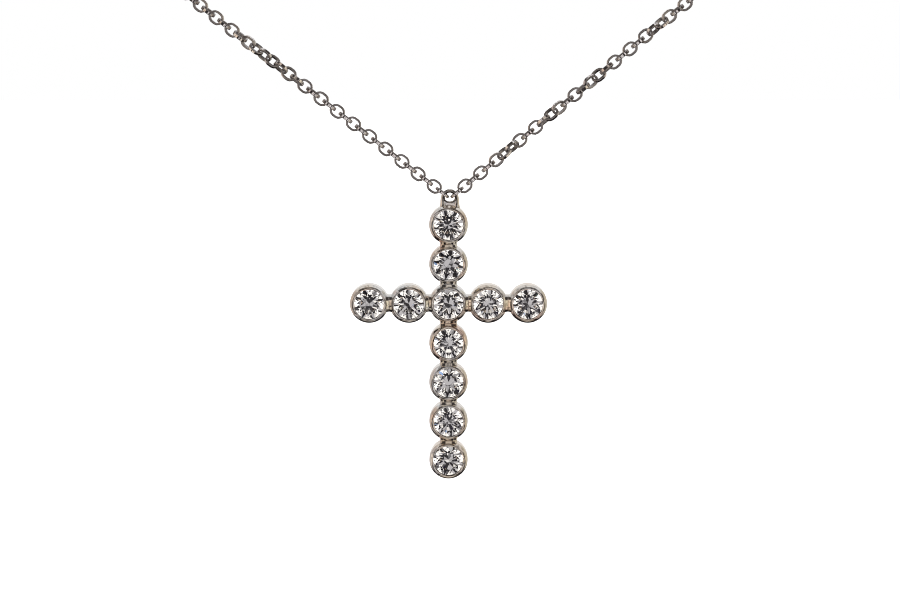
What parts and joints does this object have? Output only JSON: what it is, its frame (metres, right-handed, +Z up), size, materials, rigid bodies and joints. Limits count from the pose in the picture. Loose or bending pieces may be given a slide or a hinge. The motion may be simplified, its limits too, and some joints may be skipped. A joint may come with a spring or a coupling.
{
  "type": "cross pendant on a chain necklace",
  "caption": "Cross pendant of round bezel-set stones, hanging by a soldered ring from a fine cable-link chain that closes in a loop round the neck with a plain clasp.",
  "frame": {"origin": "middle of the clasp at the nape of the neck, where the loop hangs", "axes": "+Z up along the neck, +X to the viewer's right, and the front of the cross faces -Y"},
  "size_m": [0.119, 0.119, 0.0871],
  "materials": {
    "setting_metal": "polished white precious metal",
    "chain_metal": "polished white precious metal wire",
    "clasp_metal": "polished white precious metal",
    "stone": "clear faceted brilliant"
  },
  "bodies": {
    "necklace": {"left_chain": "chain_metal", "right_chain": "chain_metal", "left_end_link": "chain_metal", "right_end_link": "chain_metal", "clasp": "clasp_metal"},
    "cross": {"cross_setting": "setting_metal", "stone_post_1": "stone", "stone_post_2": "stone", "stone_post_3": "stone", "stone_post_4": "stone", "stone_post_5": "stone", "stone_post_6": "stone", "stone_post_7": "stone", "stone_left_1": "stone", "stone_left_2": "stone", "stone_right_1": "stone", "stone_right_2": "stone"}
  },
  "joints": [
    {"name": "cross_swing", "type": "hinge", "parent": "necklace", "child": "cross", "pos_m": [0, -0.1175, -0.06216], "axis": [1, 0, 0], "range_deg": [-35, 35]}
  ]
}
